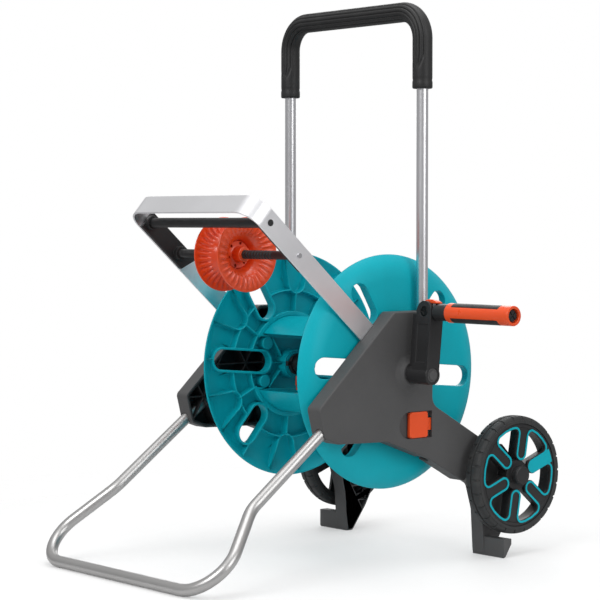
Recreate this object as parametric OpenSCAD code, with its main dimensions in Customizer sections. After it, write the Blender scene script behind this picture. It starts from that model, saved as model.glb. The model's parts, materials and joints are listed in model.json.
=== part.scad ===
// Garden hose reel cart: a trolley with a crank-turned reel, a hose guide
// with a sliding roller, a telescopic handle, two wheels and a bent-tube front stand.
// Design frame: X across the cart (crank on +X), -Y towards the front stand, Z up,
// zero on the floor just in front of the reel axle, half way between the side frames.

/* [Reel] */
// Height of the reel axle above the floor
reel_z = 310; // [300:1:330]
// Distance of the reel axle behind the middle of the side frames
reel_y = 16.6; // [10:0.2:20]
// Radius of the two reel flanges
flange_r = 190; // [170:1:190]
// Outer face of the flange on the crank side
flange_x_right = 153; // [140:1:153]
// Outer face of the flange on the water side
flange_x_left = -125; // [-135:1:-115]
// Depth of a flange with its ribs
flange_depth = 20; // [20:1:24]
// Wall thickness of the moulded skins
skin = 3; // [2.5:0.5:3.5]
// Turn of the reel from upright, as the crank is parked
reel_turn = -5; // [-30:1:30]
// Radius of the drum that the hose winds on
drum_r = 82; // [76:1:86]
// Height of the flat side of a drum bar above the axle
drum_chord = 48; // [44:1:54]
// Radius of the hollow reel axle
axle_r = 12; // [10:0.5:12]

/* [Crank] */
// Radius from the reel axle to the crank grip
crank_throw = 100; // [90:1:110]
// Length of the crank grip
grip_len = 138; // [110:1:150]
// Radius of the crank grip
grip_r = 15.5; // [13:0.5:16]

/* [Side frames] */
// Outer face of the side panels, from the middle of the cart
panel_x = 186.5; // [184:0.5:190]
// Depth of a side panel's skirt
panel_depth = 29.5; // [28:0.5:30]
// Width of a foot's leg
leg_w = 27; // [24:1:27]
// Distance from the middle of the cart to the end of a toe
toe_x = 233; // [225:1:236]

/* [Wheels] */
// Radius of the tyres
wheel_r = 98; // [90:1:100]
// Width of a wheel
wheel_w = 30; // [26:1:32]
// Inner face of a wheel, from the middle of the cart
wheel_x = 199; // [197:1:202]
// Distance of the wheel axle behind the reel axle
wheel_y = 226; // [220:1:230]
// Height of the wheel axle at rest; the toes carry the cart and the wheels hang clear
wheel_z = 134; // [132:1:140]
// Radius of the steel wheel axle
wheel_axle_r = 6; // [5:0.5:7]

/* [Handle] */
// Half the distance between the two handle tubes
handle_x = 167; // [166:0.5:168]
// Distance of the handle tubes behind the reel axle
handle_y = 62.5; // [60:0.5:64]
// Height of the handle's top centre line when it is pulled out
handle_top = 893; // [820:1:920]
// Outer radius of the handle and stand tubes
tube_r = 9.5; // [9:0.25:9.5]
// Radius of the handle grip
handle_grip_r = 16.5; // [14:0.5:17]
// Lower end of the handle grip
grip_end_z = 767; // [740:1:790]

/* [Hose guide] */
// Half the outer width of the guide frame
guide_x = 160; // [158:0.5:160]
// Width of the flat aluminium bar
guide_w = 35; // [30:1:36]
// Thickness of the flat aluminium bar
guide_t = 3; // [2.5:0.5:3]
// Slope of the guide frame above level
guide_slope = 41.5; // [41:0.5:42]
// Radius of the roller's flanges
roller_r = 59.5; // [50:0.5:62]
// Half the width of the roller
roller_half_w = 31; // [26:1:34]

/* [Front stand] */
// Radius of the first bend of the stand tube
stand_bend_r = 60; // [45:1:70]
// Radius of the front corners of the stand tube
stand_corner_r = 59; // [45:1:65]

/* [Hidden] */
$fn = 64;

gap = 0.4;              // gap between parts that only lie near each other
fit = 0.1;              // gap between parts that are pushed together
run = 0.05;             // radial clearance of a running fit

// extents of the whole cart, which put the origin below its middle
crank_out_x = 242;      // outer face of the crank arm
grip_x0 = 272;          // inner end of the grip
grip_x1 = grip_x0 + grip_len;
hub_out_x = wheel_x + wheel_w + 9;
stand_front_y = -421;   // centre line of the stand's front bar
mid_x = (grip_x1 - hub_out_x) / 2;
mid_y = (stand_front_y - tube_r + wheel_y + wheel_r) / 2;

// places that several parts share
panel_in = panel_x - panel_depth;
frame_out = panel_x - skin - 0.3;
latch_z = 226;
latch_h = 42;
latch_y0 = 19;
latch_len = 39.5;
latch_travel = 8;
pocket_floor_x = panel_x - 9.3;
crank_hub_x = 195;      // inner end of the crank's hub
crank_in_x = 208;
pivot_x = (crank_in_x + crank_out_x) / 2;
pivot_r = 17;
slot_half = 7.2;
guide_top = [-280.5, 580.5];   // middle of the guide's cross bar, outer face, as [y, z]
guide_len = 355;        // length of a guide leg from the cross bar's outer face
upper_rod_u = 44.6;     // places of the rods along the guide legs
lower_rod_u = 121;
liner_x = guide_x - guide_t - 5.5;
rod_end_x = guide_x - guide_t - fit;
stand_socket = [173, -100, 266.5];
stand_bend = [177, -299, 118];
stand_corner = [256, stand_front_y, tube_r];

teal = [0.0, 0.62, 0.69];
orange = [0.95, 0.35, 0.15];
dark = [0.32, 0.32, 0.32];
black = [0.12, 0.12, 0.12];
steel = [0.75, 0.75, 0.77];

// ---- vectors ----
function unit(v) = v / norm(v);
function mirrored(p) = [-p[0], p[1], p[2]];

// ---- placing ----
// turns a drawing of the side view, as [y, z], into a solid that grows along +X from x
module along_x(x) translate([x, 0, 0]) rotate([90, 0, 90]) children();
// the origin lies below the middle of the whole cart
module cart() translate([-mid_x, -mid_y, 0]) children();
// the reel and its crank
module reel() cart() translate([0, reel_y, reel_z]) rotate([reel_turn, 0, 0]) children();
// the left side mirrors the right side
module side(s) mirror([s < 0 ? 1 : 0, 0, 0]) children();
// the guide frame's own frame: origin at the cross bar's outer face, +Y down along the bars
module guide() cart() translate([0, guide_top[0], guide_top[1]]) rotate([-guide_slope, 0, 0]) children();

// ---- shared shapes ----
module tube(x0, x1, r, bore = 0) along_x(x0) linear_extrude(x1 - x0) ring(r, bore);
module ring(r, bore) difference() {
    circle(r);
    if (bore > 0) circle(bore);
}
// stadium from radius a to radius b along the direction +X, of half width w
module stadium(a, b, w) {
    translate([a, -w]) square([b - a, 2 * w]);
    translate([a, 0]) circle(w);
    translate([b, 0]) circle(w);
}
// a straight bar between two points of a drawing
module stroke(p, q, w) {
    d = q - p;
    translate(p) rotate(atan2(d[1], d[0])) translate([0, -w / 2]) square([norm(d), w]);
}
// rounds the outer corners of a drawing, then its inner corners
module soften(outer, inner)
    offset(r = -inner, $fn = 48) offset(r = inner, $fn = 48)
        offset(r = outer, $fn = 48) offset(delta = -outer) children();

// one straight run of a bent tube
module run_of_tube(p, q, r) {
    d = q - p;
    translate(p) rotate([0, acos(d[2] / norm(d)), atan2(d[1], d[0])]) cylinder(h = norm(d), r = r);
}
// one bend of a tube at corner c, coming along a and leaving along b
module bend_of_tube(c, a, b, bend_r, r) {
    turn = acos(a * b);
    inward = unit(b - (a * b) * a);
    middle = c - a * bend_r * tan(turn / 2) + inward * bend_r;
    x = -inward;
    z = cross(x, a);
    multmatrix([[x[0], a[0], z[0], middle[0]], [x[1], a[1], z[1], middle[1]],
                [x[2], a[2], z[2], middle[2]], [0, 0, 0, 1]])
        rotate_extrude(angle = turn) translate([bend_r, 0]) circle(r);
}
// a round bar along a list of points, with the bend radii of its inner points
module bent_bar(pts, radii, r) {
    n = len(pts);
    dirs = [for (i = [0:n - 2]) unit(pts[i + 1] - pts[i])];
    cut = [for (i = [0:n - 1]) i == 0 || i == n - 1 ? 0 :
        radii[i] * tan(acos(dirs[i - 1] * dirs[i]) / 2)];
    lap = [for (i = [0:n - 1]) cut[i] > 0 ? 0.5 : 0];
    for (i = [0:n - 2]) run_of_tube(pts[i] + dirs[i] * (cut[i] - lap[i]),
        pts[i + 1] - dirs[i] * (cut[i + 1] - lap[i + 1]), r);
    // the bends are a hair thinner, as drawn tube is
    for (i = [1:n - 2]) bend_of_tube(pts[i], dirs[i - 1], dirs[i], radii[i], r - 0.05);
}

// ==== side panels and frames ====
// outline of a side panel in the side view
module panel_outline() soften(9, 22) polygon([
    [-172, 263], [-15, 409], [84, 409], [70, 300], [69, 258], [184, 193],
    [167, 151], [140, 126], [60, 170], [-30, 203], [-131, 206], [-160, 216]
]);
module panel_inside(by) offset(delta = -by) panel_outline();

// the leg and the axle carrier, in the side view
module leg_outline() soften(6, 12) polygon([
    [186, 0], [201, 0], [232, 42], [256, 84], [260, 150], [228, 182], [150, 190],
    [120, 160], [150, 128], [168, 118], [181, 75]
]);
module leg_only() difference() {
    leg_outline();
    offset(delta = gap) panel_outline();
}
// lattice of thin ribs
module lattice(step, w) for (a = [60, 120, 0], k = [-9:9])
    rotate(a) translate([-500, k * step]) square([1000, w]);

module finger_pocket() {
    translate([latch_y0 - 1, latch_z]) circle(r = latch_h / 2 + 0.7);
    translate([latch_y0 - 1, latch_z - latch_h / 2 - 0.7])
        square([latch_len + latch_travel + 2, latch_h + 1.4]);
}

// room for the handle tube from above the panel to below it
module handle_way(r) translate([handle_x, handle_y, 100]) cylinder(h = 400, r = r);
module stand_way(r) run_of_tube(stand_socket, stand_bend, r);
// room for the end of a guide bar; the slope is that of the guide frame
module guide_way(side_gap, end_gap) translate([0, guide_top[0], guide_top[1]])
    rotate([-guide_slope, 0, 0])
        translate([guide_x - guide_t - side_gap, 100, -guide_w / 2 - side_gap])
            cube([guide_t + 2 * side_gap, guide_len - 100 + end_gap, guide_w + 2 * side_gap]);

module side_panel_shape(has_crank) difference() {
    union() {
        along_x(panel_x - skin) linear_extrude(skin) difference() {
            panel_outline();
            finger_pocket();
            translate([reel_y, reel_z]) circle(r = has_crank ? 13 : 17);
        }
        along_x(panel_in) linear_extrude(panel_depth - skin) difference() {
            panel_outline();
            panel_inside(skin);
        }
        // walls and floor of the latch pocket
        along_x(pocket_floor_x) linear_extrude(panel_x - skin - pocket_floor_x) difference() {
            offset(r = 2) finger_pocket();
            finger_pocket();
            translate([60, latch_z - 12]) square([30, 24]);
        }
        along_x(pocket_floor_x) linear_extrude(1.4) offset(r = 2) finger_pocket();
        // raised bearing boss under the crank
        if (has_crank) translate([0, reel_y, reel_z]) rotate([0, 90, 0]) rotate_extrude()
            polygon([[13, panel_x - 1], [34, panel_x - 1], [32, panel_x], [25, panel_x + 2.2],
                     [20, panel_x + 5], [18, crank_hub_x - 1.5], [13, crank_hub_x - 1.5]]);
    }
    handle_way(tube_r + 1);
    stand_way(tube_r + 0.3);
    guide_way(0.5, 0);
    along_x(panel_in - 1) linear_extrude(panel_depth - skin + 1) open_end();
}

// where the panel's skirt is open towards the wheel
module open_end() polygon([
    [141, 131], [146, 120], [200, 160], [196, 196], [178, 190], [160, 155]
]);
// makes one drawing of everything in it
module flat() offset(delta = 0) children();
module frame_room() panel_inside(skin + 0.3);
module frame_ribs() flat() intersection() {
    frame_room();
    union() {
        difference() {
            frame_room();
            panel_inside(skin + 2.8);
        }
        translate([reel_y, reel_z]) lattice(52, 2);
        translate([reel_y, reel_z]) circle(r = 24);
        translate([handle_y - 14, 180]) square([28, 18]);
        translate([handle_y - 14, 378]) square([28, 22]);
    }
}
module leg_ribs() flat() difference() {
    leg_only();
    difference() {
        offset(delta = -3) leg_only();
        translate([wheel_y, wheel_z]) circle(r = 15);
        translate([186, 0]) lattice(26, 2);
    }
}
module leg_root() flat() intersection() {
    offset(delta = -1) leg_outline();
    union() {
        offset(delta = -0.5) open_end();
        frame_room();
    }
}
leg_in = panel_x + 0.5 - leg_w;
// the foot: a ribbed leg that carries the wheel axle, with a root inside the panel and a toe
module foot_shape() difference() {
    union() {
        along_x(leg_in) linear_extrude(leg_w - 3) leg_ribs();
        along_x(panel_x - 3) linear_extrude(3.5) flat() leg_only();
        along_x(leg_in) linear_extrude(frame_out - leg_in - 0.5) leg_root();
        along_x(leg_in) linear_extrude(toe_x - leg_in)
            polygon([[186.5, 0], [189, 0], [204, 22], [204, 31], [186.5, 31]]);
    }
    handle_way(tube_r + 1.6);
    translate([panel_in - 1, handle_y - 26, latch_z - latch_h / 2 - 4])
        cube([56, 60, latch_h + 8]);
    translate([0, wheel_y, wheel_z]) tube(panel_in, panel_x + 1, wheel_axle_r + fit);
    // the toe's outer lower corner is cut off
    translate([toe_x - 2, 180, 0]) rotate([0, 40, 0]) translate([0, 0, -30])
        cube([30, 40, 50]);
}
module side_frame_shape() difference() {
    union() {
        // web and ribs inside the panel
        along_x(frame_out - 2.5) linear_extrude(2.5) flat() frame_room();
        along_x(panel_in) linear_extrude(frame_out - panel_in - 2) frame_ribs();
    }
    along_x(panel_in - 1) linear_extrude(40) offset(delta = fit) leg_root();
    // bores and rooms
    translate([0, reel_y, reel_z]) tube(panel_in - 1, panel_x, 16 + fit);
    handle_way(tube_r + 1.6);
    stand_way(tube_r + fit);
    guide_way(fit, 3);
    translate([panel_in + 14, latch_y0 - 26, latch_z - latch_h / 2 - 4])
        cube([40, 100, latch_h + 8]);
    translate([panel_in - 1, handle_y - 26, latch_z - latch_h / 2 - 4])
        cube([16, 60, latch_h + 8]);
}

module side_panel_right() color(dark) cart() side(1) side_panel_shape(true);
module side_panel_left() color(dark) cart() side(-1) side_panel_shape(false);
module side_frame_right() color(black) cart() side(1) side_frame_shape();
module side_frame_left() color(black) cart() side(-1) side_frame_shape();
module foot_right() color(dark) cart() side(1) foot_shape();
module foot_left() color(dark) cart() side(-1) foot_shape();

// pan-head screws that hold the panels, from the inside
screw_spots = [[-120, 240], [10, 385], [30, 212], [120, 178]];
module panel_screws() color(steel) cart() for (s = [-1, 1]) side(s)
    for (p = screw_spots) translate([0, p[0], p[1]]) tube(panel_in - 1.5, panel_in, 4);

// ==== front stand ====
module front_stand() {
    path = [stand_socket, stand_bend, stand_corner,
            mirrored(stand_corner), mirrored(stand_bend), mirrored(stand_socket)];
    radii = [0, stand_bend_r, stand_corner_r, stand_corner_r, stand_bend_r, 0];
    color(steel) cart() difference() {
        bent_bar(path, radii, tube_r);
        bent_bar(path, radii, tube_r - 1.5);
    }
}
// cross screws through the stand's ends
module stand_screws() color(steel) cart() for (s = [-1, 1]) side(s) {
    p = stand_socket + unit(stand_bend - stand_socket) * 30;
    translate(p) tube(-tube_r + 2.2, tube_r - 2.2, 3);
}

// ==== hose guide ====
// the U of the guide frame, filled, with rounded front corners
module guide_plate(x, r, extra) translate([0, 0, -guide_w / 2 - extra])
    linear_extrude(guide_w + 2 * extra) {
        y0 = guide_x - x;
        translate([-x, y0 + r]) square([2 * x, guide_len - r]);
        translate([-x + r, y0]) square([2 * x - 2 * r, r + 1]);
        for (s = [-1, 1]) translate([s * (x - r), y0 + r]) circle(r);
    }
module guide_frame() color(steel) guide() difference() {
    guide_plate(guide_x, 34, 0);
    guide_plate(guide_x - guide_t, 31, 1);
    for (u = [upper_rod_u, lower_rod_u, guide_len - 34, guide_len - 12])
        translate([0, u, 0]) tube(-guide_x - 1, guide_x + 1, 3.2);
}
// black insert on the inner face of a guide leg, with the two rod bosses
module liner_shape() difference() {
    union() {
        along_x(liner_x) linear_extrude(guide_x - guide_t - liner_x) polygon([
            [36, -guide_w / 2 + 1], [36, guide_w / 2 - 1],
            [156, guide_w / 2 - 1], [142, -guide_w / 2 + 1]
        ]);
        translate([0, upper_rod_u, 0]) tube(liner_x - 8, liner_x, 11.5);
        translate([0, lower_rod_u, 0]) tube(liner_x - 8, liner_x, 11.5);
    }
    translate([0, upper_rod_u, 0]) tube(0, guide_x, 8 + fit);
    translate([0, lower_rod_u, 0]) tube(0, guide_x, 7 + fit);
}
module guide_liner_right() color(black) guide() side(1) liner_shape();
module guide_liner_left() color(black) guide() side(-1) liner_shape();
module guide_rod_upper() color(black) guide() translate([0, upper_rod_u, 0])
    tube(-rod_end_x, rod_end_x, 8, 3);
// the lower rod carries the roller; its middle is ringed
module guide_rod_lower() color(black) guide() translate([0, lower_rod_u, 0]) difference() {
    tube(-rod_end_x, rod_end_x, 7, 3);
    for (x = [-13:13]) tube(7.5 * x - 1, 7.5 * x + 1, 8, 6.3);
}
// plugs over the upper rod's screws, and the lower rod's screws
module guide_rod_plugs() color(black) guide() for (s = [-1, 1]) side(s) {
    translate([0, upper_rod_u, 0]) tube(guide_x, guide_x + 0.8, 5.3);
    translate([0, upper_rod_u, 0]) tube(guide_x - guide_t - 16, guide_x, 2.9);
}
module guide_bolts() color(steel) guide() for (s = [-1, 1]) side(s) {
    translate([0, lower_rod_u, 0]) tube(guide_x, guide_x + 1.6, 4.2);
    translate([0, lower_rod_u, 0]) tube(guide_x - guide_t - 16, guide_x, 2.9);
    for (u = [guide_len - 34, guide_len - 12])
        translate([0, u, 0]) tube(guide_x - guide_t - 1.5, guide_x - guide_t, 5);
}

// ---- guide roller, turning and sliding on the lower rod ----
roller_wall = 2.4;
roller_core_r = 25;
roller_hub_r = 12.5;
module roller_bush() color(orange) guide() translate([0, lower_rod_u, 0])
    tube(-25, 25, 9.5, 7 + run);
// half of the spool: a quarter ellipse that flares from the core to the rim
module roller_profile() {
    bow = roller_half_w - 4 - roller_wall;
    rise = roller_r - roller_core_r;
    steps = [0:6:90];
    function lip(a) = [roller_r - rise * cos(a), 4 + bow * sin(a)];
    function out(a) = unit([-bow * cos(a), rise * sin(a)]) * roller_wall;
    polygon(concat([for (a = steps) lip(a)], [for (a = [90:-6:0]) lip(a) + out(a)]));
}
module roller_half() rotate([0, 90, 0]) {
    difference() {
        rotate_extrude() {
            roller_profile();
            translate([roller_hub_r - 1, 4]) square([roller_core_r - roller_hub_r, roller_wall]);
            translate([roller_core_r - 3, 0]) square([3, 4.5]);
            translate([9.5 + run, 0]) square([roller_hub_r - 9.5 - run, 24]);
        }
        for (a = [0:60:300]) rotate(a) translate([17, -2, 3]) cube([5, 4, 6]);
    }
}
module roller_half_right() color(orange) guide() translate([0, lower_rod_u, 0])
    roller_half();
module roller_half_left() color(orange) guide() translate([0, lower_rod_u, 0])
    mirror([1, 0, 0]) roller_half();

// ==== wheels ====
module wheel(s) cart() side(s) translate([0, wheel_y, wheel_z]) children();
finger_r = 36;          // where the raised fingers on the spokes end towards the hub
finger_w = 12.5;
rim_shape_r = 85;
opening_r = 76.5;
face_x = wheel_x + wheel_w - 2;
module fingers(from, w) for (i = [0:5])
    rotate(60 * i + 20) stadium(from, 84, w, $fn = 40);
module between_fingers(r) difference() {
    circle(r);
    fingers(finger_r, finger_w);
}
// the wheel's openings, with round corners at the rim
module wheel_openings() {
    offset(r = 7, $fn = 32) offset(delta = -7) between_fingers(opening_r);
    between_fingers(55);
}
module rim_shape() difference() {
    union() {
        tube(wheel_x + 2, face_x, rim_shape_r, opening_r + 1.5);
        tube(wheel_x + 0.5, wheel_x + wheel_w, 15);
        tube(wheel_x + 4, wheel_x + wheel_w - 5, 25);
        along_x(wheel_x + 5) linear_extrude(17) flat() intersection() {
            fingers(20, 8);
            circle(80);
        }
        along_x(wheel_x + 21) linear_extrude(face_x - 0.4 - wheel_x - 21) flat() difference() {
            circle(82);
            wheel_openings();
        }
    }
    tube(wheel_x - 1, wheel_x + wheel_w + 1, wheel_axle_r + run);
}
// thin coloured line round the openings; one finger is coloured all over
module trim_outline() intersection() {
    circle(opening_r + 4.6);
    union() {
        difference() {
            offset(r = 4.6, $fn = 32) wheel_openings();
            offset(r = 1.1, $fn = 32) wheel_openings();
        }
        rotate(20) stadium(finger_r, 84, finger_w - 1.1, $fn = 40);
    }
}
module trim_shape() along_x(face_x + 0.05) linear_extrude(0.6) flat() trim_outline();
module tyre_shape() rotate([0, 90, 0]) rotate_extrude(convexity = 4) difference() {
    translate([rim_shape_r + 0.1, wheel_x]) square([wheel_r - rim_shape_r - 0.1, wheel_w]);
    for (end = [0, 1]) translate([wheel_r, wheel_x + end * wheel_w]) rotate(45)
        square([6, 6], center = true);
    for (x = [9:6:21]) translate([wheel_r - 1.5, wheel_x + x - 0.8]) square([3, 1.6]);
}
module cap_shape() difference() {
    union() {
        tube(wheel_x + wheel_w + 0.05, wheel_x + wheel_w + 7, 16);
        tube(wheel_x + wheel_w + 7, hub_out_x, 14.5);
    }
    tube(wheel_x + wheel_w - 1, wheel_x + wheel_w + 5.5, 12.5);
}
module wheel_rim_right() color(black) wheel(1) rim_shape();
module wheel_rim_left() color(black) wheel(-1) rim_shape();
module tyre_right() color(black) wheel(1) tyre_shape();
module tyre_left() color(black) wheel(-1) tyre_shape();
module wheel_trim_right() color(teal) wheel(1) trim_shape();
module wheel_trim_left() color(teal) wheel(-1) trim_shape();
module hub_cap_right() color(dark) wheel(1) cap_shape();
module hub_cap_left() color(dark) wheel(-1) cap_shape();
module wheel_axle() color(steel) cart() translate([0, wheel_y, wheel_z])
    tube(-wheel_x - wheel_w - 4, wheel_x + wheel_w + 4, wheel_axle_r);
// push nuts on the axle's ends and spacers between the legs and the wheels
module axle_nuts() color(steel) for (s = [-1, 1]) wheel(s) {
    tube(wheel_x + wheel_w + 0.5, wheel_x + wheel_w + 3, 9.5, wheel_axle_r + fit);
    tube(panel_x + 0.5, wheel_x - 0.2, 9, wheel_axle_r + fit);
}

// ==== telescopic handle ====
module handle_bar(bottom, r) bent_bar(
    [[handle_x, handle_y, bottom], [handle_x, handle_y, handle_top],
     [-handle_x, handle_y, handle_top], [-handle_x, handle_y, bottom]], [0, 46, 46, 0], r);
handle_bottom = 203;
module handle_tube() color(steel) cart() difference() {
    handle_bar(handle_bottom, tube_r);
    handle_bar(handle_bottom - 1, tube_r - 1.5);
}
module handle_grip() color(black) cart() difference() {
    handle_bar(grip_end_z, handle_grip_r);
    handle_bar(grip_end_z - 1, tube_r + fit);
}
module handle_plugs() color(black) cart() for (s = [-1, 1])
    translate([s * handle_x, handle_y, handle_bottom]) {
        translate([0, 0, -2.5]) cylinder(h = 2.4, r = tube_r - 0.3);
        translate([0, 0, -0.5]) cylinder(h = 14, r = tube_r - 1.5 - fit);
    }
// plastic guides that the tubes slide in
module handle_bushes() color(black) cart() for (s = [-1, 1], z = [[378, 22], [182, 16]])
    translate([s * handle_x, handle_y, z[0]]) difference() {
        cylinder(h = z[1], r = tube_r + 1.5);
        translate([0, 0, -1]) cylinder(h = z[1] + 2, r = tube_r + run);
    }

// ---- latches that hold the handle at its height ----
latch_in_x = pocket_floor_x + 2;
yoke_end_y = 84;
module latch_shape() {
    along_x(latch_in_x) linear_extrude(panel_x - latch_in_x) soften(3, 1)
        translate([latch_y0, latch_z - latch_h / 2]) square([latch_len, latch_h]);
    translate([latch_in_x, latch_y0 + latch_len - 1, latch_z - 10])
        cube([4, yoke_end_y - latch_y0 - latch_len + 1, 20]);
    translate([handle_x - 5, yoke_end_y - 6, latch_z - 6])
        cube([latch_in_x - handle_x + 6, 6, 12]);
    translate([handle_x, handle_y + tube_r + 0.5, latch_z]) rotate([-90, 0, 0])
        cylinder(h = 6, r = 3);
}
module latch_right() color(orange) cart() side(1) latch_shape();
module latch_left() color(orange) cart() side(-1) latch_shape();
// return spring between a latch and its frame
module spring_shape() translate([handle_x + 1, yoke_end_y + 0.1, latch_z]) rotate([-90, 0, 0])
    difference() {
        cylinder(h = 11.5, r = 4);
        translate([0, 0, -1]) cylinder(h = 14, r = 3);
    }
module latch_spring_right() color(steel) cart() side(1) spring_shape();
module latch_spring_left() color(steel) cart() side(-1) spring_shape();

// ==== reel ====
// D-shaped cross-section of a drum bar
module drum_segment(r, chord) difference() {
    circle(r);
    translate([-2 * r, -2 * r]) square([4 * r, 2 * r + chord]);
}
module both_ways() for (a = [0, 180]) rotate(a) children();
slot_w = 17;
// one slot of a flange, drawn with its half width: two level slots and four slanted ones
module slot(i, w) {
    if (i % 3 == 0) rotate(60 * i) stadium(63, 150, w);
    else rotate(i % 3 == 1 ? 60 * i - 5.5 : 60 * i + 5.5) stadium(110, 148, w);
}
rib = 2.4;
hub_len = 26;           // length of the collar round a hub sleeve
collar_bore = 21.5;
module u_rib_outline(w) {
    polygon([[132, -16 - w], [193, -36 - w], [193, 36 + w], [132, 16 + w]]);
    translate([139, 0]) circle(18 + w);
}
module flange_ribs() difference() {
    union() {
        for (i = [0:5]) {
            slot(i, slot_w + 4);
            rotate(60 * i) stroke([160, 0], [189, 0], rib);
            rotate(60 * i + 30) stroke([84, 0], [124, 0], rib);
            rotate(60 * i + 30) difference() {
                u_rib_outline(rib / 2);
                u_rib_outline(-rib / 2);
            }
        }
        difference() {
            union() {
                ring(127, 127 - rib);
                ring(90, 90 - rib);
            }
            for (i = [0:5]) rotate(60 * i + 30) u_rib_outline(0);
        }
        for (a = [0, 180]) rotate(a) stroke([23, 0], [60, 0], rib);
        for (s = [-1, 1], t = [-1, 1]) stroke([s * 23, t * 12], [s * 46, t * 43], rib);
        for (a = [30, 150, 210, 330]) rotate(a) translate([64, 0]) circle(11);
        // seats of the drum bars
        both_ways() drum_segment(drum_r + 6, drum_chord - 5);
    }
    both_ways() drum_segment(drum_r + fit, drum_chord - fit);
    circle(collar_bore);
}
// a flange seen from outside in: its outer face at 0, the hose side towards +X
module flange_skin() polygon([
    [0, 0], [0, 150], [1.2, 160], [3.2, 168], [6.5, 177], [13, 185], [18, flange_r],
    [flange_depth, flange_r], [flange_depth, 187.6], [15.2, 183], [8.8, 175],
    [6, 166.9], [4.1, 159.2], [skin, 149.6], [skin, 0]
]);
// the hollow of the flange, which the ribs stay inside
module flange_hollow() polygon([
    [1.5, 0], [1.5, 149], [2.8, 159.5], [4.8, 167.2], [7.8, 175.7], [14.2, 184], [18, 187.8], [18, 0]
]);
module flange_shape() difference() {
    union() {
        rotate([0, 90, 0]) rotate_extrude($fn = 128) rotate(90) mirror([0, 1]) flange_skin();
        intersection() {
            along_x(skin - 1) linear_extrude(flange_depth - skin - 2) flat() flange_ribs();
            rotate([0, 90, 0]) rotate_extrude($fn = 128) rotate(90) mirror([0, 1]) flange_hollow();
        }
        // split collar round the hub sleeve
        along_x(skin - 1) linear_extrude(hub_len) difference() {
            ring(25, collar_bore);
            square([60, 5], center = true);
        }
    }
    along_x(-1) linear_extrude(flange_depth + 2)
        for (i = [0:5]) slot(i, slot_w);
    tube(-1, 60, axle_r + fit);
}
module reel_flange_right() color(teal) reel() translate([flange_x_right, 0, 0])
    mirror([1, 0, 0]) flange_shape();
module reel_flange_left() color(teal) reel() translate([flange_x_left, 0, 0]) flange_shape();
drum_x0 = flange_x_left + skin + fit;
drum_x1 = flange_x_right - skin - fit;
module drum_bars() color(teal) reel() along_x(drum_x0) linear_extrude(drum_x1 - drum_x0)
    both_ways() difference() {
        drum_segment(drum_r, drum_chord);
        drum_segment(drum_r - 2.6, drum_chord + 2.6);
    }
// sleeves between the flanges' collars and the shafts
module hub_sleeves() color(teal) reel() for (x = [drum_x0, drum_x1 - hub_len])
    tube(x, x + hub_len, collar_bore - fit, axle_r + fit);
axle_x0 = -198;
axle_end_x = -62;
axle_x1 = 216;
axle_bore = 8;
// hollow stub axle that brings the water in, closed at its inner end
module reel_axle() color(steel) reel() difference() {
    tube(axle_x0, axle_end_x, axle_r);
    tube(axle_x0 - 1, axle_end_x - 3, axle_bore);
    outlet() cylinder(h = 30, r = 5);
}
// solid stub axle that the crank turns
module crank_shaft() color(steel) reel() tube(drum_x1 - hub_len, axle_x1, axle_r);
// clip that holds the left flange on the axle
clip_x = drum_x0 + hub_len + 0.2;
module axle_clip() color(black) reel() difference() {
    union() {
        tube(clip_x, clip_x + 6, 18);
        translate([clip_x, -24, -4]) cube([6, 48, 8]);
    }
    tube(clip_x - 1, clip_x + 7, axle_r + fit);
}
// water outlet from the axle to the hose inside the drum
outlet_x = -76;
module outlet() translate([outlet_x, 0, 0]) rotate([180, 0, 0]) children();
module drum_elbow() color(black) reel() difference() {
    union() {
        tube(outlet_x - 13, outlet_x + 13, 15);
        outlet() cylinder(h = 26, r = 9);
    }
    tube(outlet_x - 30, outlet_x + 30, axle_r + fit);
    outlet() cylinder(h = 60, r = 5);
}
module drum_coupling() color(orange) reel() outlet() difference() {
    union() {
        translate([0, 0, 20]) cylinder(h = 16, r = 12.5);
        translate([0, 0, 36]) cylinder(h = 8, r = 10.5);
    }
    translate([0, 0, 15]) cylinder(h = 11.1, r = 9 + fit);
    cylinder(h = 60, r = 6.5);
}

// ---- crank ----
eye_w = 27;             // width of the arm across the fork
module at_pivot(len, r) translate([pivot_x, 0, crank_throw]) rotate([90, 0, 0])
    cylinder(h = len, r = r, center = true);
module crank_arm() color(black) reel() difference() {
    union() {
        tube(crank_hub_x, crank_out_x, grip_r);
        translate([crank_in_x, -eye_w / 2, 0])
            cube([crank_out_x - crank_in_x, eye_w, crank_throw]);
        at_pivot(eye_w, pivot_r);
        translate([crank_in_x - 11, -10, 0]) cube([12, 20, crank_throw - 4]);
    }
    tube(0, axle_x1 + 0.5, axle_r + fit);
    tube(crank_out_x - 2, crank_out_x + 1, 11.5);
    // shallow channel down the front of the arm
    translate([crank_in_x + 5, -eye_w / 2 - 1, 20])
        cube([crank_out_x - crank_in_x - 10, 2, crank_throw - 40]);
    // fork for the folding knuckle: a round room, open above and outwards
    at_pivot(2 * slot_half, 16.6);
    translate([pivot_x, -slot_half, crank_throw - 9.6]) cube([40, 2 * slot_half, 50]);
    translate([crank_in_x - 20, -slot_half, crank_throw - 8.5]) cube([40, 2 * slot_half, 60]);
    at_pivot(60, 3.5 + fit);
    translate([0, -eye_w / 2 + 2, 0]) at_pivot(4, 8);
}
module crank_cap() color(dark) reel() {
    tube(crank_out_x - 1.9, crank_out_x - 1.3, 11.3);
    tube(crank_out_x - 1.4, crank_out_x + 0.2, 7.6);
}
module crank_screw() color(black) reel() difference() {
    union() {
        at_pivot(eye_w - 1, 3.5);
        translate([0, -eye_w / 2 + 1.6, 0]) at_pivot(2.6, 7.2);
    }
    translate([pivot_x, -eye_w / 2, crank_throw]) for (a = [0, 90]) rotate([0, a, 0])
        cube([9, 2.6, 1.8], center = true);
}
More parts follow.
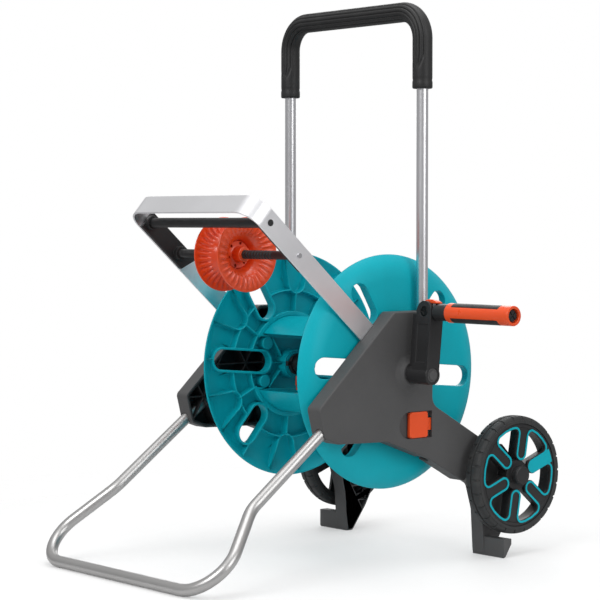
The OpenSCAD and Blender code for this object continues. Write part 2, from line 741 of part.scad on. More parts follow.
module grip_frame() reel() translate([pivot_x, 0, crank_throw]) children();
stem_x = pivot_r + 1;
spindle_r = 6;
module grip_knuckle() color(black) grip_frame() difference() {
    union() {
        rotate([90, 0, 0]) cylinder(h = 13.6, r = 13, center = true);
        translate([0, -6.8, -9]) cube([stem_x + 1, 13.6, 18]);
        tube(stem_x, grip_x0 - pivot_x - 0.5, 13.5);
        tube(stem_x, grip_x1 - pivot_x - 7, spindle_r);
    }
    rotate([90, 0, 0]) cylinder(h = 30, r = 3.5 + run, center = true);
    translate([-8, -7.5, 10]) cube([stem_x + 13, 15, 20]);
}
// release button on top of the knuckle, and its spring
module fold_button() color(orange) grip_frame() rotate([90, 0, 0])
    linear_extrude(13, center = true) polygon([
        [-7, 13.4], [-7, 17], [-3, 19.2], [3, 20], [10, 19.6], [16, 18], [21, 15.6], [21, 13.4]
    ]);
module button_spring() color(steel) grip_frame()
    translate([8, 0, 10.1]) difference() {
        cylinder(h = 3.2, r = 3);
        translate([0, 0, -1]) cylinder(h = 6, r = 2);
    }
pad_x0 = grip_x0 + 12;
pad_x1 = grip_x1 - 24;
pad_r = grip_r - 2.5;
// soft inserts cover the top and the bottom of the grip over this half angle
module pad_sectors(half) for (a = [90, 270]) rotate(a) polygon([
    [0, 0], [40 * cos(half), -40 * sin(half)], [40, 0], [40 * cos(half), 40 * sin(half)]
]);
module grip_sleeve() color(orange) reel() translate([0, 0, crank_throw]) difference() {
    tube(grip_x0, grip_x1, grip_r);
    tube(grip_x0 - 1, grip_x1 + 1, spindle_r + run);
    tube(grip_x1 - 8, grip_x1 + 1, 11);
    along_x(pad_x0) linear_extrude(pad_x1 - pad_x0) difference() {
        pad_sectors(54);
        circle(pad_r);
    }
}
module grip_pads() color(black) reel() translate([0, 0, crank_throw])
    along_x(pad_x0 + fit) linear_extrude(pad_x1 - pad_x0 - 2 * fit) intersection() {
        ring(grip_r, pad_r + fit);
        pad_sectors(53.6);
    }
// snap clip that keeps the grip on its spindle
module grip_clip() color(black) reel() translate([0, 0, crank_throw]) difference() {
    tube(grip_x1 - 6.9, grip_x1 - 3, 9);
    for (a = [45, 135]) rotate([a, 0, 0]) translate([grip_x1 - 5, -1, -12]) cube([4, 2, 24]);
}

// ==== bearings and water inlet ====
module bush_shape() {
    tube(panel_in - 2.5, panel_in, 19, axle_r + run);
    tube(panel_in - 1, frame_out, 16, axle_r + run);
}
module reel_bush_right() color(black) inlet() side(1) bush_shape();
module reel_bush_left() color(black) inlet() side(-1) bush_shape();
// swivelling inlet on the left end of the axle
elbow_x = -212;
module inlet() cart() translate([0, reel_y, reel_z]) children();
module inlet_elbow() color(black) inlet() difference() {
    union() {
        tube(-224, -189, 15);
        translate([elbow_x, 0, -44]) cylinder(h = 44, r = 11);
    }
    tube(-199, -180, axle_r + run);
    tube(-214, -190, axle_bore);
    translate([elbow_x, 0, -45]) cylinder(h = 46, r = axle_bore);
}
module inlet_nut() color(dark) inlet() difference() {
    tube(-206, -190, 19);
    tube(-207, -189, 15 + fit);
    for (a = [0:30:330]) rotate([a, 0, 0]) translate([-207, -1.5, 18]) cube([18, 3, 3]);
    translate([elbow_x, 0, -44]) cylinder(h = 44, r = 11 + fit);
}
nipple_r = 7;
module inlet_nipple() color(black) inlet() translate([elbow_x, 0, 0]) difference() {
    union() {
        translate([0, 0, -78]) cylinder(h = 18, r = nipple_r);
        translate([0, 0, -60]) cylinder(h = 5, r = 8.5);
        translate([0, 0, -55]) cylinder(h = 10.9, r = 13);
        translate([0, 0, -45]) cylinder(h = 11, r = axle_bore - fit);
    }
    translate([0, 0, -80]) cylinder(h = 60, r = 4.5);
}

side_panel_right();
side_panel_left();
side_frame_right();
side_frame_left();
foot_right();
foot_left();
panel_screws();
front_stand();
stand_screws();
guide_frame();
guide_liner_right();
guide_liner_left();
guide_rod_upper();
guide_rod_lower();
guide_rod_plugs();
guide_bolts();
wheel_axle();
axle_nuts();
reel_bush_right();
reel_bush_left();
handle_bushes();
latch_spring_right();
latch_spring_left();
reel_flange_right();
reel_flange_left();
drum_bars();
hub_sleeves();
reel_axle();
crank_shaft();
axle_clip();
drum_elbow();
drum_coupling();
crank_arm();
crank_cap();
crank_screw();
grip_knuckle();
fold_button();
button_spring();
grip_sleeve();
grip_pads();
grip_clip();
roller_bush();
roller_half_right();
roller_half_left();
inlet_elbow();
inlet_nut();
inlet_nipple();
handle_tube();
handle_grip();
handle_plugs();
latch_right();
latch_left();
wheel_rim_right();
wheel_rim_left();
tyre_right();
tyre_left();
wheel_trim_right();
wheel_trim_left();
hub_cap_right();
hub_cap_left();
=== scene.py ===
import json
import math

import bmesh
import bpy
from mathutils import Matrix, Vector


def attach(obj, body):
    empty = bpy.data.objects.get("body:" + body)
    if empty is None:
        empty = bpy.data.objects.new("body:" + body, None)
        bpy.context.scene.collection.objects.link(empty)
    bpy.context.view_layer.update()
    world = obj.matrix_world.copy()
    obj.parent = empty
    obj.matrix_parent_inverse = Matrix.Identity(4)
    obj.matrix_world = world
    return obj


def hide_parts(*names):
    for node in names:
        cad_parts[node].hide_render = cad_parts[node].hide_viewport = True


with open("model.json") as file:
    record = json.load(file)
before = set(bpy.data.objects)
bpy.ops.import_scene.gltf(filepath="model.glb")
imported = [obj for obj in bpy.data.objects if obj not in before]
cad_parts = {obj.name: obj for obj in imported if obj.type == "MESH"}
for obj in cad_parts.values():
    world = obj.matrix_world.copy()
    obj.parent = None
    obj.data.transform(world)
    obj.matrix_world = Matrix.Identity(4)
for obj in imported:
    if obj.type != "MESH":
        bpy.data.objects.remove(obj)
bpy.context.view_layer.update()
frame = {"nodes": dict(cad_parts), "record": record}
nodes = frame["nodes"]
record = frame["record"]
body_of = {n: b for b, names in record["behaviour"]["bodies"].items() for n in names}
slot_of = {s["node"]: s["material_slot"] for s in record["subparts"]}

MM = 0.001
SHIFT = Vector((-0.086, 0.05325, 0.0))     # from the cart's design frame to the row frame
REEL_Y, REEL_Z = 16.6, 310.0                # the reel's axis
PANEL_FACE_X = 186.5                        # outer face of a side panel and of its latch
CRANK_FACE_X = 242.0                        # outer face of the crank arm
HANDLE_X, HANDLE_Y, HANDLE_TOP = 167.0, 62.5, 893.0
HANDLE_BEND, HANDLE_FOOT, GRIP_END = 46.0, 203.0, 767.0
TUBE_R, TUBE_WALL = 9.45, 1.5
SAME_PLANE = 0.02                           # how near a face counts as in its plane, in millimetres
SHARP = math.radians(50)                    # edges bent more than this stay sharp


def at(x, y, z):
    """A point of the design frame, in millimetres, as a point of the row frame."""
    return Vector((x, y, z)) * MM + SHIFT


# ------------------------------------------------------------------ camera
CAMERA_AZIMUTH, CAMERA_ELEVATION = math.radians(50.18), math.radians(2.238)
CAMERA_SPOT = (2563.03, -2192.22, 554.19)
CAMERA_LENS = 121.8


def add_camera():
    azimuth, elevation = CAMERA_AZIMUTH, CAMERA_ELEVATION
    back = Vector((math.sin(azimuth) * math.cos(elevation),
                   -math.cos(azimuth) * math.cos(elevation), math.sin(elevation)))
    right = Vector((0, 0, 1)).cross(back).normalized()
    up = back.cross(right)
    data = bpy.data.cameras.new("camera")
    data.sensor_width = 36.0
    data.lens = CAMERA_LENS
    data.clip_start, data.clip_end = 0.05, 60.0
    cam = bpy.data.objects.new("camera", data)
    turn = Matrix((right, up, back)).transposed().to_4x4()
    cam.matrix_world = Matrix.Translation(at(*CAMERA_SPOT)) @ turn
    bpy.context.collection.objects.link(cam)
    bpy.context.scene.camera = cam


# ------------------------------------------------------------------ materials
class Nodes:
    """Small helper that adds and links shader nodes."""

    def __init__(self, tree):
        self.tree = tree

    def add(self, kind, **values):
        n = self.tree.nodes.new(kind)
        for key, value in values.items():
            setattr(n, key, value)
        return n

    def link(self, a, b):
        self.tree.links.new(a, b)

    def noise(self, vector, scale, detail=2.0, rough=0.5):
        n = self.add("ShaderNodeTexNoise")
        n.inputs["Scale"].default_value = scale
        n.inputs["Detail"].default_value = detail
        n.inputs["Roughness"].default_value = rough
        self.link(vector, n.inputs["Vector"])
        return n.outputs["Fac"]

    def ramp(self, value, low, high, to_low, to_high):
        n = self.add("ShaderNodeMapRange")
        n.inputs["From Min"].default_value = low
        n.inputs["From Max"].default_value = high
        n.inputs["To Min"].default_value = to_low
        n.inputs["To Max"].default_value = to_high
        self.link(value, n.inputs["Value"])
        return n.outputs["Result"]

    def mix(self, factor, a, b):
        n = self.add("ShaderNodeMix", data_type="RGBA")
        self.link(factor, n.inputs["Factor"])
        for socket, value in ((n.inputs["A"], a), (n.inputs["B"], b)):
            if isinstance(value, tuple):
                socket.default_value = (*value, 1.0)
            else:
                self.link(value, socket)
        return n.outputs["Result"]

    def stretched(self, vector, scale):
        n = self.add("ShaderNodeMapping")
        n.inputs["Scale"].default_value = scale
        self.link(vector, n.inputs["Vector"])
        return n.outputs["Vector"]


def start_material(name):
    mat = bpy.data.materials.new(name)
    mat.use_nodes = True
    k = Nodes(mat.node_tree)
    shader = mat.node_tree.nodes["Principled BSDF"]
    where = k.add("ShaderNodeTexCoord").outputs["Object"]
    return mat, k, shader, where


def shade(c, f):
    return tuple(min(1.0, v * f) for v in c)


def moulded(name, colour, rough, grain, grain_size, worn, coat, flow, shine):
    """Moulded plastic: slight flow marks, a fine grain, uneven sheen and paler rubbed edges."""
    mat, k, shader, where = start_material(name)
    cloud = k.noise(where, 9.0, 3.0, 0.55)
    streak = k.noise(k.stretched(where, (5.0, 28.0, 28.0)), 1.0, 3.0, 0.6)
    speck = k.noise(where, 650.0, 1.0)
    base = k.mix(k.ramp(cloud, 0.3, 0.7, 0.0, 1.0),
                 shade(colour, 1.0 - flow), shade(colour, 1.0 + flow))
    base = k.mix(k.ramp(streak, 0.45, 0.75, 0.0, 0.35), base, shade(colour, 1.0 + 1.6 * flow))
    base = k.mix(k.ramp(speck, 0.55, 0.75, 0.0, 0.25), base, shade(colour, 0.8))
    point = k.add("ShaderNodeNewGeometry").outputs["Pointiness"]
    edge = k.ramp(point, 0.53, 0.62, 0.0, 0.5)
    rub = k.add("ShaderNodeMath", operation="MULTIPLY")
    k.link(edge, rub.inputs[0])
    k.link(k.ramp(k.noise(where, 60.0, 3.0), 0.4, 0.65, 0.0, 1.0), rub.inputs[1])
    paler = tuple(min(1.0, v * worn + 0.015) for v in colour)
    base = k.mix(rub.outputs[0], base, paler)
    k.link(base, shader.inputs["Base Color"])
    sheen = k.noise(where, 35.0, 4.0, 0.6)
    k.link(k.ramp(sheen, 0.3, 0.7, rough - 0.05, rough + 0.07), shader.inputs["Roughness"])
    shader.inputs["Specular IOR Level"].default_value = shine
    shader.inputs["Coat Weight"].default_value = coat
    shader.inputs["Coat Roughness"].default_value = 0.25
    fine = k.noise(where, 1000.0 / grain_size, 2.0, 0.6)
    wide = k.noise(where, 45.0, 2.0)
    rough_bump = k.add("ShaderNodeBump")
    rough_bump.inputs["Strength"].default_value = grain
    rough_bump.inputs["Distance"].default_value = 0.0004
    k.link(fine, rough_bump.inputs["Height"])
    wave = k.add("ShaderNodeBump")
    wave.inputs["Strength"].default_value = 0.06
    wave.inputs["Distance"].default_value = 0.002
    k.link(wide, wave.inputs["Height"])
    k.link(rough_bump.outputs["Normal"], wave.inputs["Normal"])
    k.link(wave.outputs["Normal"], shader.inputs["Normal"])
    return mat


def metal(name, colour, rough, along=(1, 1, 1), brush=0.05, spread=0.08, stained=0.03):
    """Satin metal: fine drawn streaks along one axis and faint handling stains."""
    mat, k, shader, where = start_material(name)
    shader.inputs["Metallic"].default_value = 1.0
    streak = k.noise(k.stretched(where, tuple(1800.0 / a for a in along)), 1.0, 2.0, 0.6)
    stain = k.noise(where, 6.0, 4.0, 0.6)
    base = k.mix(k.ramp(stain, 0.35, 0.7, 0.0, 1.0),
                 shade(colour, 1.0 - stained), shade(colour, 1.0 + stained))
    k.link(base, shader.inputs["Base Color"])
    both = k.add("ShaderNodeMath", operation="ADD")
    k.link(k.ramp(streak, 0.3, 0.7, rough - spread / 2, rough + spread / 2), both.inputs[0])
    k.link(k.ramp(stain, 0.4, 0.7, 0.0, 0.04), both.inputs[1])
    k.link(both.outputs[0], shader.inputs["Roughness"])
    bump = k.add("ShaderNodeBump")
    bump.inputs["Strength"].default_value = brush
    bump.inputs["Distance"].default_value = 0.0002
    k.link(streak, bump.inputs["Height"])
    k.link(bump.outputs["Normal"], shader.inputs["Normal"])
    return mat


def rubber(name, colour, rough, dust):
    """Soft or tyre rubber: matt, with a fine tooth and a little dust."""
    mat, k, shader, where = start_material(name)
    dusty = k.noise(where, 26.0, 5.0, 0.65)
    tooth = k.noise(where, 1500.0, 2.0)
    base = k.mix(k.ramp(dusty, 0.5, 0.8, 0.0, 1.0), colour, dust)
    k.link(base, shader.inputs["Base Color"])
    k.link(k.ramp(dusty, 0.3, 0.8, rough - 0.06, rough + 0.1), shader.inputs["Roughness"])
    shader.inputs["Sheen Weight"].default_value = 0.02
    bump = k.add("ShaderNodeBump")
    bump.inputs["Strength"].default_value = 0.22
    bump.inputs["Distance"].default_value = 0.0003
    k.link(tooth, bump.inputs["Height"])
    k.link(bump.outputs["Normal"], shader.inputs["Normal"])
    return mat


TEAL = (0.0, 0.41, 0.495)
ORANGE = (0.84, 0.085, 0.014)
MATERIALS = {
    "teal_plastic": moulded("teal_plastic", TEAL, 0.42, 0.06, 0.6, 1.2, 0.0, 0.05, 0.22),
    "orange_plastic": moulded("orange_plastic", ORANGE, 0.32, 0.05, 0.6, 1.2, 0.15, 0.06, 0.42),
    "grey_plastic": moulded("grey_plastic", (0.080, 0.080, 0.081), 0.58, 0.30, 0.7, 1.5, 0.0, 0.08, 0.35),
    "black_plastic": moulded("black_plastic", (0.018, 0.018, 0.019), 0.45, 0.16, 0.6, 2.2, 0.0, 0.10, 0.4),
    "soft_grip": rubber("soft_grip", (0.010, 0.010, 0.0105), 0.50, (0.020, 0.020, 0.020)),
    "tyre_rubber": rubber("tyre_rubber", (0.020, 0.022, 0.023), 0.60, (0.045, 0.044, 0.042)),
    "steel": metal("steel", (0.55, 0.55, 0.57), 0.30, (3, 1, 1)),
    "aluminium_tube": metal("aluminium_tube", (0.76, 0.76, 0.78), 0.28, (1, 1, 40), 0.015, 0.05),
}
ROLLER_PLASTIC = moulded("roller_plastic", (0.86, 0.075, 0.012), 0.22, 0.03, 0.6, 1.1, 0.35, 0.05, 0.55)
SPECIAL_MATERIALS = {
    "crank_screw": metal("black_screw", (0.03, 0.03, 0.03), 0.35),
    "roller_half_right": ROLLER_PLASTIC,
    "roller_half_left": ROLLER_PLASTIC,
    "guide_frame": metal("guide_aluminium", (0.90, 0.90, 0.92), 0.36, (14, 14, 14), 0.01, 0.03, 0.02),
    "front_stand": metal("stand_aluminium", (0.50, 0.495, 0.49), 0.34, (14, 14, 14), 0.01, 0.04),
}


def material_for(node):
    return SPECIAL_MATERIALS.get(node) or MATERIALS[slot_of[node]]


# ------------------------------------------------------------------ pieces
def place(node, mesh):
    """Shows mesh in place of a CAD node, on its body and with its material."""
    piece = bpy.data.objects.new(node + "_skin", mesh)
    bpy.context.collection.objects.link(piece)
    mesh.materials.clear()
    mesh.materials.append(material_for(node))
    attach(piece, body_of[node])
    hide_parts(node)
    return piece


def smooth_by_weight(piece, width, segments, angle):
    bevel = piece.modifiers.new("edges", "BEVEL")
    bevel.width = width
    bevel.segments = segments
    bevel.limit_method = "ANGLE"
    bevel.angle_limit = math.radians(angle)
    bevel.use_clamp_overlap = False
    bevel.harden_normals = False
    bevel.miter_outer = "MITER_ARC"
    weighted = piece.modifiers.new("normals", "WEIGHTED_NORMAL")
    weighted.keep_sharp = True
    weighted.weight = 80


# pieces whose flat faces have openings, or whose facets must stay as they are
PIERCED = {"guide_rod_lower", "latch_right", "latch_left", "reel_flange_right", "reel_flange_left",
           "wheel_rim_right", "wheel_rim_left", "side_frame_right", "side_frame_left",
           "wheel_trim_right", "wheel_trim_left"}


def clean_copy(node):
    """The CAD node's mesh as a bmesh, welded and, where it is simple, without flat seams."""
    bm = bmesh.new()
    bm.from_mesh(nodes[node].data)
    bmesh.ops.remove_doubles(bm, verts=bm.verts, dist=2e-6)
    if node not in PIERCED:
        bmesh.ops.dissolve_limit(bm, angle_limit=math.radians(0.6), verts=bm.verts,
                                 edges=bm.edges, use_dissolve_boundaries=False)
    return bm


def to_mesh(bm, name):
    mesh = bpy.data.meshes.new(name)
    bmesh.ops.recalc_face_normals(bm, faces=bm.faces)
    bm.to_mesh(mesh)
    bm.free()
    for poly in mesh.polygons:
        poly.use_smooth = True
    mesh.set_sharp_from_angle(angle=SHARP)
    return mesh


def design(p):
    """A point of the row frame, in metres, as (x, y, z) of the design frame in millimetres."""
    return (p - SHIFT) / MM


def round_edges(bm, pick, width, segments):
    """Rounds the sharp edges whose two ends both satisfy pick, by width in millimetres."""
    edges = [e for e in bm.edges if len(e.link_faces) == 2
             and e.calc_face_angle(0.0) > SHARP
             and all(pick(*design(v.co)) for v in e.verts)]
    bmesh.ops.bevel(bm, geom=edges, offset=width * MM, segments=segments, profile=0.5,
                    affect="EDGES", clamp_overlap=False, loop_slide=True)


def on_panel_outline(x, y, z):
    pocket = -8 < y < 72 and 202 < z < 250
    on_face = abs(abs(x) - PANEL_FACE_X) < SAME_PLANE
    return on_face and not pocket and math.hypot(y - REEL_Y, z - REEL_Z) > 20


def on_crank_face(x, y, z):
    return abs(x - CRANK_FACE_X) < SAME_PLANE and math.hypot(y - REEL_Y, z - REEL_Z) > 12


ROUNDED = {
    "side_panel_right": (on_panel_outline, 2.7, 4),
    "side_panel_left": (on_panel_outline, 2.7, 4),
    "crank_arm": (on_crank_face, 1.8, 3),
}


EDGE_WIDTH = 0.0006
EDGE_SEGMENTS, EDGE_ANGLE = 2, 32
UNBEVELLED = "guide_rod_lower"              # its rings are finer than any bevel


def refine(node):
    bm = clean_copy(node)
    if node in ROUNDED:
        round_edges(bm, *ROUNDED[node])
    piece = place(node, to_mesh(bm, node + "_skin"))
    if node != UNBEVELLED:
        smooth_by_weight(piece, WIDTHS.get(node, EDGE_WIDTH), EDGE_SEGMENTS, EDGE_ANGLE)


WIDTHS = {
    "wheel_rim_right": 0.0009, "wheel_rim_left": 0.0009, "grip_sleeve": 0.001, "fold_button": 0.0012,
    "guide_frame": 0.0005, "hub_cap_right": 0.001, "hub_cap_left": 0.001,
    "button_spring": 0.0001, "latch_spring_right": 0.0002, "latch_spring_left": 0.0002,
    "wheel_trim_right": 0.0002, "wheel_trim_left": 0.0002,
    "guide_rod_plugs": 0.0003, "crank_cap": 0.0004, "latch_right": 0.0014, "latch_left": 0.0014,
    "reel_flange_right": 0.0012, "reel_flange_left": 0.0012,
}


# ---- built meshes: rings of points joined into a skin ----
def skin(rings, closed_path=False, cap=False):
    """A bmesh over a grid of points, rings[i][j], in which each ring is closed."""
    bm = bmesh.new()
    verts = [[bm.verts.new(p) for p in ring] for ring in rings]
    n, m = len(rings), len(rings[0])
    for i in range(n if closed_path else n - 1):
        for j in range(m):
            a, b = verts[i], verts[(i + 1) % n]
            bm.faces.new((a[j], a[(j + 1) % m], b[(j + 1) % m], b[j]))
    if cap:
        bm.faces.new(verts[0])
        bm.faces.new(verts[-1])
    return bm


def turned(profile, angles, spot, side=1.0, lift=None):
    """A closed profile of (x, r) turned about the X axis through spot, all in millimetres."""
    rings = []
    for angle in angles:
        ring = []
        for i, (x, r) in enumerate(profile):
            if lift:
                x, r = lift(i, x, r, angle)
            ring.append(at(side * x, spot[0] + r * math.cos(angle), spot[1] + r * math.sin(angle)))
        rings.append(ring)
    return skin(rings, closed_path=True)


def step(x, low, high):
    t = min(1.0, max(0.0, (x - low) / (high - low)))
    return t * t * (3 - 2 * t)


# ---- tyres: two staggered rows of shoulder blocks ----
WHEEL_SPOT = (226.0, 134.0)
TYRE_PITCHES = 26
TYRE_STEPS = (0.0, 0.035, 0.13, 0.165, 0.33, 0.5, 0.535, 0.63, 0.665, 0.83)
TYRE_PROFILE = (
    (199.6, 85.3), (199.2, 88.0), (199.2, 90.3), (200.0, 90.6), (200.3, 93.0), (201.0, 95.2),
    (202.2, 96.6), (204.0, 97.3), (207.5, 97.8), (211.8, 98.0), (212.4, 97.2), (212.6, 96.2),
    (215.4, 96.2), (215.6, 97.2), (216.2, 98.0), (220.5, 97.8), (224.0, 97.3), (225.8, 96.6),
    (227.0, 95.2), (227.7, 93.0), (228.0, 90.6), (228.8, 90.3), (228.8, 88.0), (228.4, 85.3),
)


def tyre_lift(i, x, r, angle):
    frac = (angle / (2 * math.pi) * TYRE_PITCHES) % 1.0
    outer = x > 214
    if not outer:
        frac = (frac + 0.5) % 1.0
    cut = step(frac, 0.0, 0.035) * (1 - step(frac, 0.13, 0.165))
    # the grooves run from the middle of the tread over the shoulder
    reach = step(abs(x - 214), 3.0, 5.0) * step(r, 90.4, 91.2)
    sink = cut * reach * 1.9
    toward = 1.0 if x < 214 else -1.0
    shoulder = step(abs(x - 214), 9.0, 13.5)
    return x + toward * sink * shoulder * 0.7, r - sink * (1 - 0.55 * shoulder)


def make_tyre(node, side):
    angles = [2 * math.pi * (k + f) / TYRE_PITCHES for k in range(TYRE_PITCHES) for f in TYRE_STEPS]
    bm = turned(TYRE_PROFILE, angles, WHEEL_SPOT, side, tyre_lift)
    place(node, to_mesh(bm, node + "_skin"))


# ---- roller: a rippled trumpet on each side ----
GUIDE_TOP = (-280.5, 580.5)
GUIDE_SLOPE = math.radians(41.5)
ROLLER_SPOT = (GUIDE_TOP[0] + 121.0 * math.cos(GUIDE_SLOPE), GUIDE_TOP[1] - 121.0 * math.sin(GUIDE_SLOPE))
ROLLER_BOW, ROLLER_RISE, ROLLER_WALL = 24.6, 34.5, 2.4
RIPPLES = 30


def roller_profile():
    def lip(a):
        return 4 + ROLLER_BOW * math.sin(a), 59.5 - ROLLER_RISE * math.cos(a)

    def out(a):
        x, r = lip(a)
        d = math.hypot(ROLLER_BOW * math.cos(a), ROLLER_RISE * math.sin(a))
        return (x + ROLLER_RISE * math.sin(a) / d * ROLLER_WALL,
                r - ROLLER_BOW * math.cos(a) / d * ROLLER_WALL)

    steps = [math.radians(a) for a in range(0, 91, 5)]
    profile = [(lip(a), 1.0) for a in steps]
    profile += [((29.0, 59.75), 0.0), ((30.2, 59.9), 0.0), ((31.0, 59.4), 0.0)]
    profile += [(out(a), -1.0) for a in reversed(steps[:-1])]
    rest = [(6.6, 21.5), (6.4, 20.5), (6.4, 16.5), (6.4, 13.4), (7.0, 12.6), (8.0, 12.4), (23.0, 12.3),
            (23.8, 11.9), (24.0, 11.2), (24.0, 9.75), (0.2, 9.75), (0.2, 11.0), (3.6, 11.4), (3.9, 12.0),
            (3.9, 16.5), (3.9, 20.5), (3.9, 21.5), (3.5, 22.0), (0.1, 22.0), (0.1, 24.9), (2.0, 25.0)]
    return [p for p, _ in profile] + rest, [w for _, w in profile] + [0.0] * len(rest)


def make_roller(node, side):
    points, weights = roller_profile()

    def ripple(i, x, r, angle):
        zone = step(r, 33.0, 39.0) * (1 - step(r, 50.0, 56.5))
        push = 2.7 * zone * abs(weights[i]) * (abs(math.cos(RIPPLES / 2 * angle + 0.04 * r)) ** 4)
        return x + push * 0.75, r - push * 0.75

    count = 420
    angles = [2 * math.pi * k / count for k in range(count)]
    bm = turned(points, angles, ROLLER_SPOT, side, ripple)
    open_slots(bm, points, count)
    place(node, to_mesh(bm, node + "_skin"))


def open_slots(bm, points, count):
    """Cuts six short slots through the roller's hub disc, between its front and back faces."""
    bm.verts.ensure_lookup_table()
    size = len(points)
    front = (points.index((6.4, 20.5)), points.index((6.4, 16.5)))
    back = (points.index((3.9, 16.5)), points.index((3.9, 20.5)))

    def vert(k, j):
        return bm.verts[(k % count) * size + j]

    doomed, walls = [], []
    for n in range(6):
        start, width = round(count * n / 6) + 8, 16
        for k in range(start, start + width):
            for j in (front[0], back[0]):
                ring = {vert(k, j), vert(k, j + 1), vert(k + 1, j), vert(k + 1, j + 1)}
                doomed += [f for f in vert(k, j).link_faces if set(f.verts) == ring]
            for a, b in ((front[0], back[1]), (front[1], back[0])):
                walls.append((vert(k, a), vert(k + 1, a), vert(k + 1, b), vert(k, b)))
        for k in (start, start + width):
            walls.append((vert(k, front[0]), vert(k, front[1]), vert(k, back[0]), vert(k, back[1])))
    bmesh.ops.delete(bm, geom=doomed, context="FACES_ONLY")
    for wall in walls:
        bm.faces.new(wall)


# ---- bent tubes ----
STAND_PATH = ((173, -100, 266.5), (177, -299, 118), (256, -421, 9.5),
              (-256, -421, 9.5), (-177, -299, 118), (-173, -100, 266.5))
STAND_BENDS = (60, 59, 59, 60)
HANDLE_PATH = ((HANDLE_X, HANDLE_Y, HANDLE_FOOT), (HANDLE_X, HANDLE_Y, HANDLE_TOP),
               (-HANDLE_X, HANDLE_Y, HANDLE_TOP), (-HANDLE_X, HANDLE_Y, HANDLE_FOOT))


def bent_line(corners, radii):
    """Points along a line of straight runs and round bends, in millimetres."""
    corners = [Vector(c) for c in corners]
    points = [corners[0]]
    for i in range(1, len(corners) - 1):
        before = (corners[i] - corners[i - 1]).normalized()
        after = (corners[i + 1] - corners[i]).normalized()
        turn = before.angle(after)
        cut = radii[i - 1] * math.tan(turn / 2)
        inward = (after - before * before.dot(after)).normalized()
        middle = corners[i] - before * cut + inward * radii[i - 1]
        for k in range(25):
            a = turn * k / 24
            points.append(middle - inward * radii[i - 1] * math.cos(a) + before * radii[i - 1] * math.sin(a))
    return points + [corners[-1]]


def make_tube(node, corners, radii, count=48):
    """A hollow tube along corners, with a short open bore at each end."""
    line = bent_line(corners, radii)
    ways = [(line[min(i + 1, len(line) - 1)] - line[max(i - 1, 0)]).normalized() for i in range(len(line))]
    side = ways[0].orthogonal().normalized()
    round_the_axis = [(math.cos(2 * math.pi * j / count), math.sin(2 * math.pi * j / count))
                      for j in range(count)]
    rings = []
    for point, way in zip(line, ways):
        side = (side - way * side.dot(way)).normalized()
        other = way.cross(side)
        rings.append([(c, d, point, side, other) for c, d in round_the_axis])

    def ring(source, r, push=0.0, way=Vector()):
        return [at(*(p + (a * c + b * d) * r + way * push)) for c, d, p, a, b in source]

    bore, depth = TUBE_R - TUBE_WALL, 12.0
    skins = [ring(rings[0], bore, depth, ways[0]), ring(rings[0], bore)]
    skins += [ring(source, TUBE_R) for source in rings]
    skins += [ring(rings[-1], bore), ring(rings[-1], bore, -depth, ways[-1])]
    place(node, to_mesh(skin(skins, cap=True), node + "_skin"))


# ---- handle grip: soft sleeve with grooves along its front ----
def handle_path():
    """Stations along the grip as (x, z, outward x, outward z)."""
    half, bend, low, high = HANDLE_X, HANDLE_BEND, GRIP_END, HANDLE_TOP
    pts = [(half, z, 1.0, 0.0) for z in (low, low + 0.5, low + 1.5, low + 3.0)]
    pts += [(half, low + 3 + (high - bend - low - 3) * k / 22, 1.0, 0.0) for k in range(1, 22)]
    for k in range(0, 19):
        a = math.radians(5 * k)
        pts.append((half - bend + bend * math.cos(a), high - bend + bend * math.sin(a),
                    math.cos(a), math.sin(a)))
    pts += [((half - bend) * (1 - k / 14), high, 0.0, 1.0) for k in range(1, 15)]
    other = [(-x, z, -nx, nz) for x, z, nx, nz in reversed(pts[:-1])]
    return pts + other


def make_grip(node):
    rings = []
    count = 96
    grooves = (-52.0, -26.0, 0.0, 26.0, 52.0)
    end_round = {GRIP_END: 1.6, GRIP_END + 0.5: 0.7, GRIP_END + 1.5: 0.2}
    for x, z, nx, nz in handle_path():
        ring = []
        spread = step(z, 792.0, 822.0)
        fade = step(z, 796.0, 806.0)
        for j in range(count):
            t = 2 * math.pi * j / count
            deg = (math.degrees(t) + 180) % 360 - 180
            dip = max(math.exp(-((deg - g * (0.35 + 0.65 * spread)) / 3.4) ** 2) for g in grooves)
            r = 16.2 - 1.6 * dip * fade
            r -= 0.7 * math.exp(-((z - 781.0) / 0.9) ** 2) if z < 790 else 0.0
            r += 0.25 if z < 780.5 else 0.0
            r -= end_round.get(z, 0.0)
            ring.append(at(x + r * math.sin(t) * nx, HANDLE_Y - r * math.cos(t),
                           z + r * math.sin(t) * nz))
        rings.append(ring)
    bm = skin(rings, cap=True)
    place(node, to_mesh(bm, node + "_skin"))


BUILT = {
    "tyre_right": lambda n: make_tyre(n, 1.0),
    "tyre_left": lambda n: make_tyre(n, -1.0),
    "roller_half_right": lambda n: make_roller(n, 1.0),
    "roller_half_left": lambda n: make_roller(n, -1.0),
    "handle_grip": make_grip,
    "front_stand": lambda n: make_tube(n, STAND_PATH, STAND_BENDS),
    "handle_tube": lambda n: make_tube(n, HANDLE_PATH, (HANDLE_BEND, HANDLE_BEND)),
}


def build():
    for node in nodes:
        if node in BUILT:
            BUILT[node](node)
        else:
            refine(node)


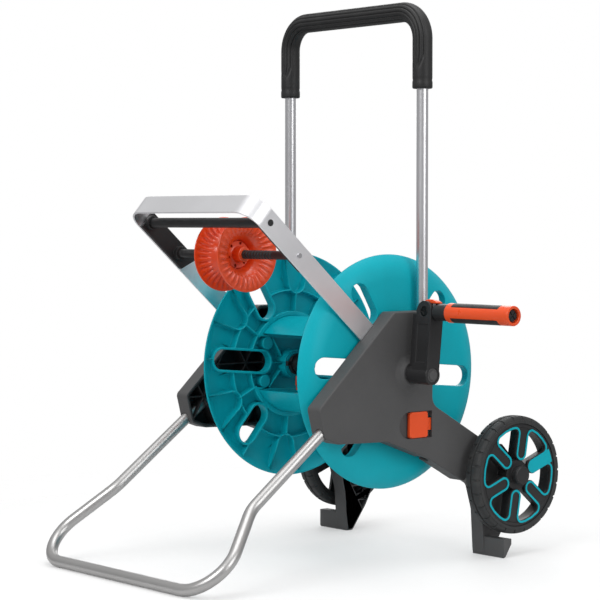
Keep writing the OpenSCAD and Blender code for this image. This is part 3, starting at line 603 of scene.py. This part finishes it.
# ------------------------------------------------------------------ stage and light
def add_stage():
    bm = bmesh.new()
    bmesh.ops.create_circle(bm, cap_ends=True, radius=14.0, segments=96)
    mesh = bpy.data.meshes.new("floor")
    bm.to_mesh(mesh)
    bm.free()
    floor = bpy.data.objects.new("floor", mesh)
    bpy.context.collection.objects.link(floor)
    mat, k, shader, where = start_material("pale_floor")
    fine = k.noise(where, 60.0, 4.0, 0.6)
    k.link(k.mix(fine, (0.90, 0.90, 0.90), (0.93, 0.93, 0.93)), shader.inputs["Base Color"])
    shader.inputs["Roughness"].default_value = 0.6
    shader.inputs["Specular IOR Level"].default_value = 0.1
    # the floor fades into the plain background a little way from the cart
    clear = k.add("ShaderNodeBsdfTransparent")
    away = k.add("ShaderNodeVectorMath", operation="LENGTH")
    k.link(where, away.inputs[0])
    fade = k.add("ShaderNodeMixShader")
    k.link(k.ramp(away.outputs["Value"], 0.45, 1.3, 0.35, 1.0), fade.inputs[0])
    k.link(shader.outputs[0], fade.inputs[1])
    k.link(clear.outputs[0], fade.inputs[2])
    k.link(fade.outputs[0], mat.node_tree.nodes["Material Output"].inputs["Surface"])
    mesh.materials.append(mat)


def add_area(name, spot, size, power, colour=(1, 1, 1)):
    data = bpy.data.lights.new(name, "AREA")
    data.shape = "RECTANGLE"
    data.size, data.size_y = size
    data.energy = power
    data.color = colour
    lamp = bpy.data.objects.new(name, data)
    lamp.location = spot
    lamp.rotation_mode = "QUATERNION"
    lamp.rotation_quaternion = (Vector((0, 0, 0.4)) - Vector(spot)).to_track_quat("-Z", "Y")
    bpy.context.collection.objects.link(lamp)


def add_light():
    world = bpy.data.worlds.new("studio")
    bpy.context.scene.world = world
    world.use_nodes = True
    k = Nodes(world.node_tree)
    back = world.node_tree.nodes["Background"]
    back.inputs["Color"].default_value = (1.0, 1.0, 1.0, 1.0)
    back.inputs["Strength"].default_value = 1.0
    # softer and uneven for what the object sees, so that metal has something to mirror
    inner = k.add("ShaderNodeBackground")
    inner.inputs["Strength"].default_value = 0.62
    where = k.add("ShaderNodeTexCoord").outputs["Generated"]
    parts = k.add("ShaderNodeSeparateXYZ")
    k.link(where, parts.inputs[0])
    height = k.ramp(parts.outputs["Z"], -0.3, 0.7, 0.0, 1.0)
    k.link(k.mix(height, (0.42, 0.42, 0.43), (1.0, 1.0, 1.0)), inner.inputs["Color"])
    path = k.add("ShaderNodeLightPath").outputs["Is Camera Ray"]
    choose = k.add("ShaderNodeMixShader")
    k.link(path, choose.inputs[0])
    k.link(inner.outputs[0], choose.inputs[1])
    k.link(back.outputs[0], choose.inputs[2])
    out = world.node_tree.nodes["World Output"]
    k.link(choose.outputs[0], out.inputs["Surface"])
    add_area("key", (0.6, -3.2, 2.6), (2.4, 1.8), 62.0)
    add_area("side", (3.4, 0.4, 1.7), (1.8, 2.2), 34.0)
    add_area("top", (0.0, 0.2, 3.6), (2.6, 2.6), 45.0)
    add_area("rim", (-2.6, 2.4, 1.8), (1.6, 2.2), 26.0)
    bpy.context.scene.view_settings.view_transform = "Standard"


add_camera()
build()
add_stage()
add_light()
